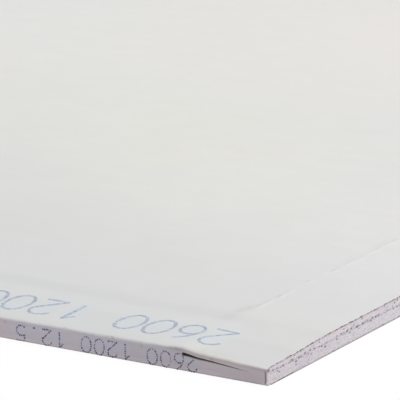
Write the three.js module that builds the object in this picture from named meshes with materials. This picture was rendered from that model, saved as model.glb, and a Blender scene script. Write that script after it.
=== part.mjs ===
// Plasterboard (drywall) sheet with four tapered edges, lying face side up.
//
// Units are millimetres, +Z is up, X runs along the sheet and Y across it.
// The origin is the middle of the underside.
//
// Three pieces are bonded face to face:
//   gypsum_core  the cast plaster, bare at both cut ends;
//   face_paper   one ivory liner over the face, wrapped round both long edges and
//                turned under the back as a narrow hem;
//   back_paper   one grey liner over the back, lapped over the two hems.
//
// The corner at +X, -Y has a pleat: where the end taper was pressed down, the
// wrapped liner had length to spare, so its top folds out over the edge as a lip
// with a pocket under it.

import * as THREE from 'three';

// Driving dimensions of the sheet
const sheetLength = 2600;
const sheetWidth = 1200;
const sheetThickness = 12.5;
const paperThickness = 0.375;

// Tapers on the face side: how far in they reach, and how deep they are at the edge.
// A curve of 1 is a straight slope; a larger one is steepest where the taper starts.
const longTaperWidth = 57;
const longTaperDepth = 1.35;
const longTaperCurve = 1.8;
const endTaperWidth = 49;
const endTaperDepth = 1.8;
const endTaperCurve = 1;

// The long edges are rounded off a little more before they fold down
const shoulderWidth = 6;
const shoulderDrop = 0.7;

// Folds and hem of the face paper, and how far the back paper stays off the edge
const faceFoldRadius = 1.6;
const backFoldRadius = 1;
const hemWidth = 25;
const backPaperSetback = 4;

// Pleat at the +X, -Y corner
const pleatOffset = 2; // from the start of the end taper to the start of the pleat
const pleatTearLength = 0.8; // the pocket opens all at once over this length
const pleatEndMargin = 10; // from the closed end of the pocket to the cut end
const lipFoldRadius = 1.2; // of the face paper's fold over the edge, where the pocket tears open
const cornerFoldRadius = 0.7; // and from the closed end of the pocket to the cut end
const lipOpenHeight = 0.35; // flat of the lip above the pocket, where it is wide open
const lipShutHeight = 1.9; // and where it shuts
const lipCurve = 1.35; // 1 would widen the flat evenly; more keeps it narrow for longer
const pocketDepth = 2.5;
const pocketMouthHeight = 1.9; // of the pocket, where it tears open
const pocketMouthCurve = 14; // the larger, the closer to the tear this extra gape stays
const pocketRunHeight = 1.4; // just past the mouth, from where it narrows
const pocketRunCurve = 1.2; // 1 would narrow it evenly; more narrows it sooner
const pocketShutHeight = 0.3; // height of the same strip of edge where it isn't open

// The paper above the pleat stands up: a long low swell, with a short peak on it
const swellHeight = 0.6;
const swellBefore = 110; // its length from where the pleat starts, away from the corner
const swellAfter = 40; // and towards the corner
const swellWidth = 34;
const peakHeight = 0.9;
const peakReach = 10;
const peakWidth = 12;

// Facets
const faceFoldSteps = 6;
const backFoldSteps = 3;
const shoulderSteps = 3;
const taperSteps = 6;
const swellSteps = 10;
const peakSteps = 3;
const pleatSteps = 10;

const halfLength = sheetLength / 2;
const halfWidth = sheetWidth / 2;
const quarterTurn = Math.PI / 2;
const taperLine = halfLength - endTaperWidth;
const pleatStart = taperLine + pleatOffset;
const pleatTorn = pleatStart + pleatTearLength;
const pleatEnd = halfLength - pleatEndMargin;

// Evenly spaced values from first to last, both included.
function spaced(first, last, steps) {
	return Array.from({ length: steps + 1 }, (_, i) => first + ((last - first) * i) / steps);
}

// How far a taper has dropped at a distance from its edge.
function taperDrop(distance, width, depth, curve) {
	return distance < width ? depth * (1 - (distance / width) ** curve) : 0;
}

// A smooth hump: 1 at the middle, 0 from reach outwards.
function hump(distance, reach) {
	return distance < reach ? (1 + Math.cos((Math.PI * distance) / reach)) / 2 : 0;
}

// Rise of the -Y edge around the place where the pleat starts.
function pleatRise(x, y) {
	const along = Math.abs(x - pleatStart);
	const inset = y + halfWidth;
	const swell = hump(along, x < pleatStart ? swellBefore : swellAfter) * hump(inset, swellWidth);
	const peak = hump(along, peakReach) * hump(inset, peakWidth);
	return swellHeight * swell + peakHeight * peak;
}

// Height of the papered face above the floor.
function faceHeight(x, y) {
	const inset = halfWidth - Math.abs(y);
	const longDrop = taperDrop(inset, longTaperWidth, longTaperDepth, longTaperCurve);
	const shoulder = inset < shoulderWidth ? shoulderDrop * (1 - inset / shoulderWidth) ** 2 : 0;
	const endDrop = taperDrop(halfLength - Math.abs(x), endTaperWidth, endTaperDepth, endTaperCurve);
	return sheetThickness - longDrop - shoulder - endDrop + pleatRise(x, y);
}

// How far the pocket of the pleat is open at a station: 0 shut, 1 wide open.
function pleatOpening(x) {
	if (x <= pleatStart || x >= pleatEnd) return 0;
	if (x < pleatTorn) return (x - pleatStart) / pleatTearLength;
	return (pleatEnd - x) / (pleatEnd - pleatTorn);
}

// The pocket narrows towards its shut end, and gapes a little more at its mouth.
function pocketHeight(open) {
	const run = pocketShutHeight + (pocketRunHeight - pocketShutHeight) * open ** pocketRunCurve;
	return run + (pocketMouthHeight - pocketRunHeight) * open ** pocketMouthCurve;
}

// Height of the flat of paper between the pocket and the fold above it.
function lipHeight(open) {
	return lipOpenHeight + (lipShutHeight - lipOpenHeight) * (1 - open) ** lipCurve;
}

// Radius of the face paper's fold over an edge: tighter and tighter past the pleat's tear.
function foldRadiusAt(x, side) {
	if (side > 0 || x <= pleatStart) return faceFoldRadius;
	if (x < pleatTorn) {
		return faceFoldRadius + ((lipFoldRadius - faceFoldRadius) * (x - pleatStart)) / pleatTearLength;
	}
	const past = Math.min((x - pleatTorn) / (pleatEnd - pleatTorn), 1);
	return lipFoldRadius + (cornerFoldRadius - lipFoldRadius) * past;
}

// One half of the wrapped face paper at a station, from the end of the hem, round
// the edge and up to the field, for side -1 or 1 of Y. Each step is a pair of
// points [y, z]: the bare side of the paper and the side that is bonded to the core.
function halfWrap(x, side) {
	const pairs = [];
	const add = (inset, height, bondedInset, bondedHeight) => {
		pairs.push({
			bare: [side * (halfWidth - inset), height],
			bonded: [side * (halfWidth - bondedInset), bondedHeight],
		});
	};

	add(hemWidth, paperThickness, hemWidth, 2 * paperThickness);

	const innerBackFold = backFoldRadius - paperThickness;
	for (const angle of spaced(quarterTurn, 0, backFoldSteps)) {
		const centreHeight = paperThickness + backFoldRadius;
		add(
			backFoldRadius * (1 - Math.cos(angle)),
			centreHeight - backFoldRadius * Math.sin(angle),
			backFoldRadius - innerBackFold * Math.cos(angle),
			centreHeight - innerBackFold * Math.sin(angle)
		);
	}

	const open = side < 0 ? pleatOpening(x) : 0;
	const foldRadius = foldRadiusAt(x, side);
	const foldStart = faceHeight(x, side * halfWidth) - foldRadius;
	const pocketTop = foldStart - lipHeight(open) - paperThickness;
	const pocketFloor = pocketTop - pocketHeight(open);
	const depth = pocketDepth * open;
	const lining = paperThickness * open;
	const shutStep = ((1 - open) * pocketHeight(open)) / 3;
	const behind = depth + paperThickness;
	add(0, pocketFloor, paperThickness, pocketFloor - lining);
	add(depth, pocketFloor + shutStep, behind, pocketFloor + shutStep - lining);
	add(depth, pocketTop - shutStep, behind, pocketTop - shutStep + lining);
	add(0, pocketTop, paperThickness, pocketTop + lining);

	const innerFold = foldRadius - paperThickness;
	for (const angle of spaced(0, quarterTurn, faceFoldSteps)) {
		const inset = foldRadius * (1 - Math.cos(angle));
		const centreHeight = faceHeight(x, side * (halfWidth - inset)) - foldRadius;
		add(
			inset,
			centreHeight + foldRadius * Math.sin(angle),
			foldRadius - innerFold * Math.cos(angle),
			centreHeight + innerFold * Math.sin(angle)
		);
	}

	const shoulderInsets = spaced(foldRadius, shoulderWidth, shoulderSteps).slice(1);
	const taperInsets = spaced(shoulderWidth, longTaperWidth, taperSteps).slice(1);
	for (const inset of [...shoulderInsets, ...taperInsets]) {
		const height = faceHeight(x, side * (halfWidth - inset));
		add(inset, height, inset, height - paperThickness);
	}
	return pairs;
}

// Where the sheet's section is taken along X.
const stations = [
	-halfLength,
	-taperLine,
	...spaced(pleatStart - swellBefore, pleatStart - peakReach, swellSteps),
	...spaced(pleatStart - peakReach, taperLine, peakSteps).slice(1),
	pleatStart,
	...spaced(pleatTorn, pleatEnd, pleatSteps),
	halfLength,
];

// The whole wrap at each station, from the -Y hem over the face to the +Y hem.
const wraps = stations.map((x) => [...halfWrap(x, -1), ...halfWrap(x, 1).reverse()]);

// Collects triangles as flat position data and gives them back as a geometry.
class Faces {
	constructor() {
		this.positions = [];
	}

	triangle(a, b, c) {
		this.positions.push(...a, ...b, ...c);
	}

	quad(a, b, c, d) {
		this.triangle(a, b, c);
		this.triangle(a, c, d);
	}

	geometry() {
		const geometry = new THREE.BufferGeometry();
		geometry.setAttribute('position', new THREE.Float32BufferAttribute(this.positions, 3));
		geometry.computeVertexNormals();
		return geometry;
	}
}

// Point [x, y, z] of a station's [y, z] point.
const at = (station, [y, z]) => [stations[station], y, z];

// Walls between each station and the next, along an open line of [y, z] points.
// The quads are always cut on the same diagonal, so the two sides of a bonded
// joint get the same facets; outward says which way they face.
function addWalls(faces, lines, outward) {
	for (let s = 0; s + 1 < lines.length; s++) {
		for (let i = 0; i + 1 < lines[s].length; i++) {
			const near = at(s, lines[s][i]);
			const far = at(s + 1, lines[s + 1][i]);
			const farNext = at(s + 1, lines[s + 1][i + 1]);
			const nearNext = at(s, lines[s][i + 1]);
			if (outward) {
				faces.triangle(near, far, farNext);
				faces.triangle(near, farNext, nearNext);
			} else {
				faces.triangle(near, farNext, far);
				faces.triangle(near, nearNext, farNext);
			}
		}
	}
}

const bareLines = wraps.map((wrap) => wrap.map((pair) => pair.bare));
const bondedLines = wraps.map((wrap) => wrap.map((pair) => pair.bonded));
const hemEnd = halfWidth - hemWidth;
const lastStation = stations.length - 1;

function facePaperGeometry() {
	const faces = new Faces();
	addWalls(faces, bareLines, true);
	addWalls(faces, bondedLines, false);

	// The two thin ends of the liner, along its hems.
	for (const [index, outward] of [[0, false], [wraps[0].length - 1, true]]) {
		const hemLines = wraps.map((wrap) => [wrap[index].bare, wrap[index].bonded]);
		addWalls(faces, hemLines, outward);
	}

	// The liner's own thickness at the two cut ends of the sheet.
	for (const station of [0, lastStation]) {
		const wrap = wraps[station];
		for (let i = 0; i + 1 < wrap.length; i++) {
			const corners = [wrap[i].bare, wrap[i + 1].bare, wrap[i + 1].bonded, wrap[i].bonded];
			const ring = corners.map((corner) => at(station, corner));
			if (station === lastStation) ring.reverse();
			faces.quad(...ring);
		}
	}
	return faces.geometry();
}

function gypsumCoreGeometry() {
	const faces = new Faces();

	// Round the outside, under the liner, then down the steps of the hem rebates
	// and across the back.
	const lastPoint = bondedLines[0].length - 1;
	const backLeft = [-hemEnd, paperThickness];
	const backRight = [hemEnd, paperThickness];
	addWalls(faces, bondedLines, true);
	addWalls(faces, bondedLines.map((line) => [line[lastPoint], backRight]), true);
	addWalls(faces, bondedLines.map(() => [backRight, backLeft]), true);
	addWalls(faces, bondedLines.map((line) => [backLeft, line[0]]), true);

	// Each cut end is a fan round a point near either long edge, and a plain band
	// of four triangles between the two points.
	const spineInset = hemEnd - sheetThickness / 2;
	const spineHeight = sheetThickness / 2;
	for (const station of [0, lastStation]) {
		const flip = station === lastStation;
		const line = bondedLines[station];
		const half = line.length / 2;
		const left = at(station, [-spineInset, spineHeight]);
		const right = at(station, [spineInset, spineHeight]);
		const fan = (centre, points) => {
			for (let i = 0; i + 1 < points.length; i++) {
				const edge = [at(station, points[i]), at(station, points[i + 1])];
				if (flip) edge.reverse();
				faces.triangle(centre, ...edge);
			}
		};
		fan(left, [backLeft, ...line.slice(0, half)]);
		fan(right, [...line.slice(half), backRight]);
		const upper = [at(station, line[half - 1]), at(station, line[half]), right, left];
		const lower = [left, right, at(station, backRight), at(station, backLeft)];
		for (const ring of [upper, lower]) {
			if (flip) ring.reverse();
			faces.quad(...ring);
		}
	}
	return faces.geometry();
}

function backPaperGeometry() {
	const width = sheetWidth - 2 * backPaperSetback;
	const geometry = new THREE.BoxGeometry(sheetLength, width, paperThickness);
	return geometry.translate(0, 0, paperThickness / 2);
}

function piece(name, geometry, color, roughness) {
	const material = new THREE.MeshStandardMaterial({ color, roughness, metalness: 0 });
	const mesh = new THREE.Mesh(geometry, material);
	mesh.name = name;
	return mesh;
}

const sheet = new THREE.Group();
sheet.add(piece('gypsum_core', gypsumCoreGeometry(), 0xccc8ce, 0.95));
sheet.add(piece('face_paper', facePaperGeometry(), 0xe2e3de, 0.85));
sheet.add(piece('back_paper', backPaperGeometry(), 0xb4b0a8, 0.9));

export default sheet;
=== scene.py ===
"""Drywall sheet: the looks of a plasterboard with four tapered edges, lying face up.

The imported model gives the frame. X runs along the sheet, Y across it, Z is up, and
the origin is the middle of the underside. Lengths are in millimetres where nothing
else is said, and make_piece turns them into metres.
"""

import functools
import json
import math

import bmesh
import bpy
import numpy as np
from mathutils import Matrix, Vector, noise


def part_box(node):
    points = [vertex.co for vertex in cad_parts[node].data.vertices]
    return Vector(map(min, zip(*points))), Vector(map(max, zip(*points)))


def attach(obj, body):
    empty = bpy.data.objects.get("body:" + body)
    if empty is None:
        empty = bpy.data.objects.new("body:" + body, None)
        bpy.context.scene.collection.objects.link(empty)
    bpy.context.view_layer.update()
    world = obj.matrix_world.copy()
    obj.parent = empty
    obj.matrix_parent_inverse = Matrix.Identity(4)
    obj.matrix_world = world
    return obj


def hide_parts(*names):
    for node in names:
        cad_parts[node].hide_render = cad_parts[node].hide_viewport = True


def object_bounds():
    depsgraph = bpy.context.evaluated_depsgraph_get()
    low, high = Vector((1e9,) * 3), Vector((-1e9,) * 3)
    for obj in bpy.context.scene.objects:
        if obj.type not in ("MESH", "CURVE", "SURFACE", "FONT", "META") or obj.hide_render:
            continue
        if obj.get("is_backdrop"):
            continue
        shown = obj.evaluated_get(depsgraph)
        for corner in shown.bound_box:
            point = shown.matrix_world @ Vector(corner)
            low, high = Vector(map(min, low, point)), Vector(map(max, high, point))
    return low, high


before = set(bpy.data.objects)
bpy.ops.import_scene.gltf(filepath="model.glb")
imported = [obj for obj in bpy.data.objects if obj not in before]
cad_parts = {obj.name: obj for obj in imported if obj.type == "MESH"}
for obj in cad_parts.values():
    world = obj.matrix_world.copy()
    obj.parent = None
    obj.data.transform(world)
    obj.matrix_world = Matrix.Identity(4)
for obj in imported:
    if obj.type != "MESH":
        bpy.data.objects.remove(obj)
cad_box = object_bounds()

MM = 0.001  # in metres

# The sheet, from the frame
HALF_LENGTH, HALF_WIDTH, THICKNESS = (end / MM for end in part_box("face_paper")[1])
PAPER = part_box("back_paper")[1].z / MM

# Tapers, folds and hem, whose sizes the boxes don't show
LONG_TAPER_WIDTH = 57
LONG_TAPER_DEPTH = 1.35
LONG_TAPER_CURVE = 1.8  # 1 would be a straight slope; more is steeper where it starts
SHOULDER_WIDTH = 6
SHOULDER_DROP = 0.7
END_TAPER_WIDTH = 49
END_TAPER_DEPTH = 1.8
FACE_FOLD = 1.6
BACK_FOLD = 1
HEM_WIDTH = 25

# Pleat at the +X, -Y corner
PLEAT_OFFSET = 2
PLEAT_TEAR = 0.8
PLEAT_END_MARGIN = 10
LIP_FOLD = 1.2
CORNER_FOLD = 0.7
LIP_LEAN = 0.2
OPEN_LIP = 0.35  # height of the lip's flat face, where the pocket is widest
SHUT_LIP = 1.9
LIP_CURVE = 1.6
MOUTH_HEIGHT = 1.9  # of the pocket, where it is torn open
MOUTH_CURVE = 14
RUN_HEIGHT = 1.45  # just past the mouth
RUN_CURVE = 1.12
SHUT_HEIGHT = 0.15
POCKET_DEPTH = 2.5
POCKET_RIM = 0.55  # radius of the pocket's lower rim
SHUT_RIM_DROP = 0.3  # where the rim starts below a pocket that is shut
SWELL_HEIGHT = 0.6
SWELL_BEFORE = 110
SWELL_AFTER = 40
SWELL_WIDTH = 34
PEAK_HEIGHT = 0.9
PEAK_REACH = 10
PEAK_WIDTH = 12

TAPER_LINE = HALF_LENGTH - END_TAPER_WIDTH
PLEAT_START = TAPER_LINE + PLEAT_OFFSET
PLEAT_TORN = PLEAT_START + PLEAT_TEAR
PLEAT_END = HALF_LENGTH - PLEAT_END_MARGIN
PLEAT = (PLEAT_START, PLEAT_TORN, PLEAT_END)

FINE_REACH = 170  # from the pleated corner, as far as the mesh is finest


# ---------- camera

SENSOR_WIDTH = 36
LENS = 450
IMAGE_WIDTH = 400
VIEW_AZIMUTH = math.radians(30.8)
VIEW_ELEVATION = math.radians(15.8)
CORNER_DISTANCE = 2345
CORNER_PIXEL = (267, 386.3)  # where the bottom of the pleated corner is seen
CORNER_HEIGHT = 0.45  # of the lowest point of that corner that shows
CLIP_END = 400  # in metres


def add_object(name, data, facing=None):
    """An object in the scene; facing is the direction that its own +Z is turned to."""
    made = bpy.data.objects.new(name, data)
    if facing:
        made.rotation_euler = facing.to_track_quat("Z", "Y").to_euler()
    bpy.context.scene.collection.objects.link(made)
    return made


def make_camera():
    """Looks down on the pleated corner, which lands on CORNER_PIXEL."""
    back = Vector((math.sin(VIEW_AZIMUTH), -math.cos(VIEW_AZIMUTH), math.tan(VIEW_ELEVATION)))
    back.normalize()
    right = Vector((0, 0, 1)).cross(back).normalized()
    up = back.cross(right)
    pixel = CORNER_DISTANCE * SENSOR_WIDTH / LENS / IMAGE_WIDTH
    across = (CORNER_PIXEL[0] - IMAGE_WIDTH / 2) * pixel
    above = (IMAGE_WIDTH / 2 - CORNER_PIXEL[1]) * pixel
    corner = Vector((HALF_LENGTH, -HALF_WIDTH, CORNER_HEIGHT))
    data = bpy.data.cameras.new("camera")
    data.lens = LENS
    data.sensor_width = SENSOR_WIDTH
    data.clip_end = CLIP_END
    camera = add_object("camera", data, back)
    camera.location = MM * (corner - across * right - above * up + CORNER_DISTANCE * back)
    bpy.context.scene.camera = camera


make_camera()


# ---------- nodes, in short


def add_node(tree, kind, inputs=(), output=0, **settings):
    """An output of a new node, whose inputs, in order or by name, get sockets or values."""
    made = tree.nodes.new("ShaderNode" + kind)
    for name, value in settings.items():
        setattr(made, name, value)
    for key, value in inputs.items() if isinstance(inputs, dict) else enumerate(inputs):
        socket = made.inputs[key]
        if isinstance(value, bpy.types.NodeSocket):
            tree.links.new(value, socket)
        else:
            socket.default_value = (*value, 1) if socket.type == "RGBA" else value
    return made.outputs[output] if made.outputs else None


class Shade:
    """A material built up by laying colors over each other.

    Colors and values are sockets or plain numbers. A share says how much of a color
    shows: 0 is none of it, and 1 is nothing else.
    """

    def __init__(self, name, roughness, specular):
        self.material = bpy.data.materials.new(name)
        self.material.use_nodes = True
        self.tree = self.material.node_tree
        self.shader = self.tree.nodes["Principled BSDF"]
        self.shader.inputs["Roughness"].default_value = roughness
        self.shader.inputs["Specular IOR Level"].default_value = specular
        self.place = self.node("TexCoord", output="Object")
        self.color = None

    def node(self, kind, inputs=(), **settings):
        return add_node(self.tree, kind, inputs, **settings)

    def math(self, operation, *values):
        return self.node("Math", values, operation=operation)

    def product(self, *values):
        return functools.reduce(lambda a, b: self.math("MULTIPLY", a, b), values)

    def attribute(self, name):
        return self.node("Attribute", output="Fac", attribute_name=name)

    def axis(self, name):
        """Place along an axis of the sheet."""
        return self.product(self.node("SeparateXYZ", [self.place], output=name), 1 / MM)

    def inset(self, name, half):
        """Distance in from the nearer end of an axis, where half is half the sheet's size."""
        return self.math("SUBTRACT", half, self.math("ABSOLUTE", self.axis(name)))

    def noise(self, size, detail=3, roughness=0.5, along=1, across=1):
        """Noise whose features are about size wide, longer where along or across is more."""
        scale = [1 / (size * MM * longer) for longer in (along, across, 1)]
        spot = self.node("Mapping", {"Vector": self.place, "Scale": scale})
        inputs = {"Vector": spot, "Scale": 1, "Detail": detail, "Roughness": roughness}
        return self.node("TexNoise", inputs)

    def ramp(self, value, low, high, to_low=0, to_high=1):
        """Smoothly maps low..high of a value to to_low..to_high."""
        inputs = (value, low, high, to_low, to_high)
        return self.node("MapRange", inputs, interpolation_type="SMOOTHSTEP")

    def band(self, value, low, full, fade, high):
        """1 where a value is between full and fade, and 0 where it is past low or high."""
        return self.product(self.ramp(value, low, full), self.ramp(value, fade, high, 1, 0))

    def mix(self, share, first, second, blend="MIX"):
        inputs = {0: share, 6: first, 7: second}  # the color sockets among those of all types
        return self.node("Mix", inputs, output=2, data_type="RGBA", blend_type=blend)

    def paint(self, color, *shares, blend="MIX"):
        """Lays a color over what is there, at the product of the shares."""
        self.color = self.mix(self.product(*shares), self.color, color, blend)

    def tint(self, color, *shares):
        """Multiplies what is there by a color, at the product of the shares."""
        self.paint(color, *shares, blend="MULTIPLY")

    def finish(self, relief, strength, depth):
        """Shows the color, bumps the surface by a relief, and gives the material."""
        inputs = {"Strength": strength, "Distance": depth * MM, "Height": relief}
        self.tree.links.new(self.node("Bump", inputs), self.shader.inputs["Normal"])
        self.tree.links.new(self.color, self.shader.inputs["Base Color"])
        return self.material


# ---------- light and floor

AMBIENT = 0.35
AMBIENT_COLOR = (1, 0.985, 1)
SUN_STRENGTH = 2.4
SUN_COLOR = (1, 0.995, 0.98)
SUN_FROM = Vector((0.57, 0.25, 1))
SUN_SOFTNESS = math.radians(18)
FLOOR_SIZE = 80  # in metres
FLOOR_TINT = (0.75, 0.665, 0.745)  # to the light that it sends back up
FLOOR_SEEN = (0.95, 0.95, 0.95)  # to the eye, and this is where shadows show
FLOOR_WHITE_SHARE = 0.97  # of plain white over that


def show_instead(tree, output, lit, shown):
    """Ends a tree: one shader lights things, and the eye is shown another in its place."""
    seen = add_node(tree, "LightPath", output="Is Camera Ray")
    for name in ("Is Glossy Ray", "Is Transmission Ray"):
        ray = add_node(tree, "LightPath", output=name)
        seen = add_node(tree, "Math", (seen, ray), operation="MAXIMUM")
    add_node(tree, output, [add_node(tree, "MixShader", (seen, lit, shown))])


def empty_tree(holder):
    """The node tree of a world or a material, with nothing in it."""
    holder.use_nodes = True
    holder.node_tree.nodes.clear()
    return holder.node_tree


def make_world():
    """Soft light from all round, and plain white behind everything."""
    world = bpy.data.worlds.new("studio")
    tree = empty_tree(world)
    soft = add_node(tree, "Background", {"Strength": AMBIENT, "Color": AMBIENT_COLOR})
    white = add_node(tree, "Background", {"Color": (1, 1, 1)})
    show_instead(tree, "OutputWorld", soft, white)
    bpy.context.scene.world = world


def make_sun():
    """The one directed light, high and a little towards the cut end."""
    data = bpy.data.lights.new("window_light", "SUN")
    data.energy = SUN_STRENGTH
    data.color = SUN_COLOR
    data.angle = SUN_SOFTNESS
    add_object("window_light", data, SUN_FROM.normalized())


def make_floor():
    """Pale and matt to the light that it sends back up, near white to the eye."""
    half = FLOOR_SIZE / 2
    mesh = bpy.data.meshes.new("floor")
    corners = [(-half, -half, 0), (half, -half, 0), (half, half, 0), (-half, half, 0)]
    mesh.from_pydata(corners, [], [(0, 1, 2, 3)])
    material = bpy.data.materials.new("pale_floor")
    tree = empty_tree(material)
    matt = add_node(tree, "BsdfDiffuse", {"Color": FLOOR_TINT})
    shadowed = add_node(tree, "BsdfDiffuse", {"Color": FLOOR_SEEN})
    white = add_node(tree, "Emission")
    shown = add_node(tree, "MixShader", (FLOOR_WHITE_SHARE, shadowed, white))
    show_instead(tree, "OutputMaterial", matt, shown)
    mesh.materials.append(material)
    add_object("floor", mesh)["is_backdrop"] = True


make_world()
make_sun()
make_floor()
bpy.context.scene.view_settings.view_transform = "Standard"


# ---------- form of the sheet


def hump(distance, reach):
    """1 in the middle, falling smoothly to 0 at reach."""
    inside = np.clip(np.abs(distance) / reach, 0, 1)
    return (1 + np.cos(math.pi * inside)) / 2


def taper_drop(distance, width, depth, curve):
    """How far a taper has dropped at a distance from its edge."""
    return depth * (1 - np.clip(distance / width, 0, 1) ** curve)


def face_height(x, y):
    """Height of the papered face above the floor."""
    inset = HALF_WIDTH - np.abs(y)
    long_drop = taper_drop(inset, LONG_TAPER_WIDTH, LONG_TAPER_DEPTH, LONG_TAPER_CURVE)
    end_drop = taper_drop(HALF_LENGTH - np.abs(x), END_TAPER_WIDTH, END_TAPER_DEPTH, 1)
    shoulder = SHOULDER_DROP * np.clip(1 - inset / SHOULDER_WIDTH, 0, 1) ** 2
    past, across = x - PLEAT_START, y + HALF_WIDTH
    reach = np.where(past < 0, SWELL_BEFORE, SWELL_AFTER)
    swell = SWELL_HEIGHT * hump(past, reach) * hump(across, SWELL_WIDTH)
    peak = PEAK_HEIGHT * hump(past, PEAK_REACH) * hump(across, PEAK_WIDTH)
    return THICKNESS - long_drop - shoulder - end_drop + swell + peak


def pleat_opening(x):
    """How far the pocket of the pleat is open: 0 shut, 1 wide open."""
    return np.interp(x, PLEAT, (0, 1, 0))


def face_fold(x, side):
    """Radius of the face paper's fold over one edge, ever tighter from the pleat to its corner."""
    return FACE_FOLD if side > 0 else np.interp(x, PLEAT, (FACE_FOLD, LIP_FOLD, CORNER_FOLD))


def pocket_levels(x, side, opening):
    """Lowest and highest level of the pleat's pocket at x."""
    fold_start = face_height(x, side * HALF_WIDTH) - face_fold(x, side)
    height = SHUT_HEIGHT + (RUN_HEIGHT - SHUT_HEIGHT) * opening**RUN_CURVE
    height += (MOUTH_HEIGHT - RUN_HEIGHT) * opening**MOUTH_CURVE
    top = fold_start - PAPER - OPEN_LIP - (SHUT_LIP - OPEN_LIP) * (1 - opening) ** LIP_CURVE
    return top - height, top


def half_wrap(x, side, steps):
    """The face paper's section from the end of its hem, round one edge, to the field.

    Returns rows of bare inset and height, bonded inset and height. steps says how many
    steps each of the STRETCHES gets.
    """
    rows = []

    def run(first, last, stretch):
        rows.extend(np.linspace(first, last, steps[stretch] + 1)[1 if rows else 0 :])

    def turns(stretch, first=0, last=math.pi / 2):
        for angle in np.linspace(first, last, steps[stretch] + 1)[1:]:
            yield math.cos(angle), math.sin(angle)

    opening = pleat_opening(x) if side < 0 else 0
    fold = face_fold(x, side)
    fold_start = face_height(x, side * HALF_WIDTH) - fold
    low, top = pocket_levels(x, side, opening)
    rim = POCKET_RIM * opening
    rim_drop = rim + SHUT_RIM_DROP * (1 - opening)
    rim_start = low - rim_drop
    lean = LIP_LEAN * opening
    depth = POCKET_DEPTH * opening
    lining = PAPER * opening
    shut = (1 - opening) * (top - low) / 3
    behind = depth + PAPER
    inner_back = BACK_FOLD - PAPER
    inner_fold = fold - PAPER
    centre = PAPER + BACK_FOLD

    run((HEM_WIDTH, PAPER, HEM_WIDTH, 2 * PAPER), (BACK_FOLD, PAPER, BACK_FOLD, 2 * PAPER), "hem")
    for c, s in turns("back_fold", math.pi / 2, 0):
        bonded = (BACK_FOLD - inner_back * c, centre - inner_back * s)
        rows.append([BACK_FOLD * (1 - c), centre - BACK_FOLD * s, *bonded])
    run(rows[-1], (0, rim_start, PAPER, rim_start), "edge")
    for c, s in turns("rim"):
        bonded = (PAPER + (rim - lining) * (1 - c), rim_start + (rim_drop - lining) * s)
        rows.append([rim * (1 - c), low - rim_drop * (1 - s), *bonded])
    run(rows[-1], (depth, low + shut, behind, low + shut - lining), "pocket")
    run(rows[-1], (depth, top - shut, behind, top - shut + lining), "pocket_back")
    run(rows[-1], (-lean, top, PAPER - lean, top + lining), "pocket")
    run(rows[-1], (0, fold_start, PAPER, fold_start), "lip")
    for c, s in turns("face_fold"):
        inset = fold * (1 - c)
        level = face_height(x, side * (HALF_WIDTH - inset)) - fold
        rows.append([inset, level + fold * s, fold - inner_fold * c, level + inner_fold * s])
    for inset in np.linspace(fold, LONG_TAPER_WIDTH, steps["taper"] + 1)[1:]:
        level = face_height(x, side * (HALF_WIDTH - inset))
        rows.append([inset, level, inset, level - PAPER])
    return np.array(rows)


def make_piece(name, points, faces, materials, slot, picks=(), **values):
    """A mesh that rides on the sheet, with material picks per face and values per point."""
    mesh = bpy.data.meshes.new(name)
    mesh.from_pydata([[place * MM for place in point] for point in points], [], faces)
    for material in materials:
        mesh.materials.append(material)
    if picks:
        mesh.polygons.foreach_set("material_index", picks)
    for key, column in values.items():
        mesh.attributes.new(key, "FLOAT", "POINT").data.foreach_set("value", column)
    mesh.validate()
    turned = bmesh.new()
    turned.from_mesh(mesh)
    bmesh.ops.recalc_face_normals(turned, faces=turned.faces)
    turned.to_mesh(mesh)
    turned.free()
    mesh.update()
    piece = add_object(name, mesh)
    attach(piece, "root")
    return piece


def tube_faces(end, rings, size, capped=True):
    """Faces of a tube. Its rings have size points each, and the last point is end - 1."""
    faces, first = [], end - rings * size
    for start in range(first, end - size, size):
        for c in range(size):
            a, b = start + c, start + (c + 1) % size
            faces.append((a, b, b + size, a + size))
    if capped:
        faces += [range(first, first + size), range(end - size, end)]
    return faces


# ---------- materials


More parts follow.
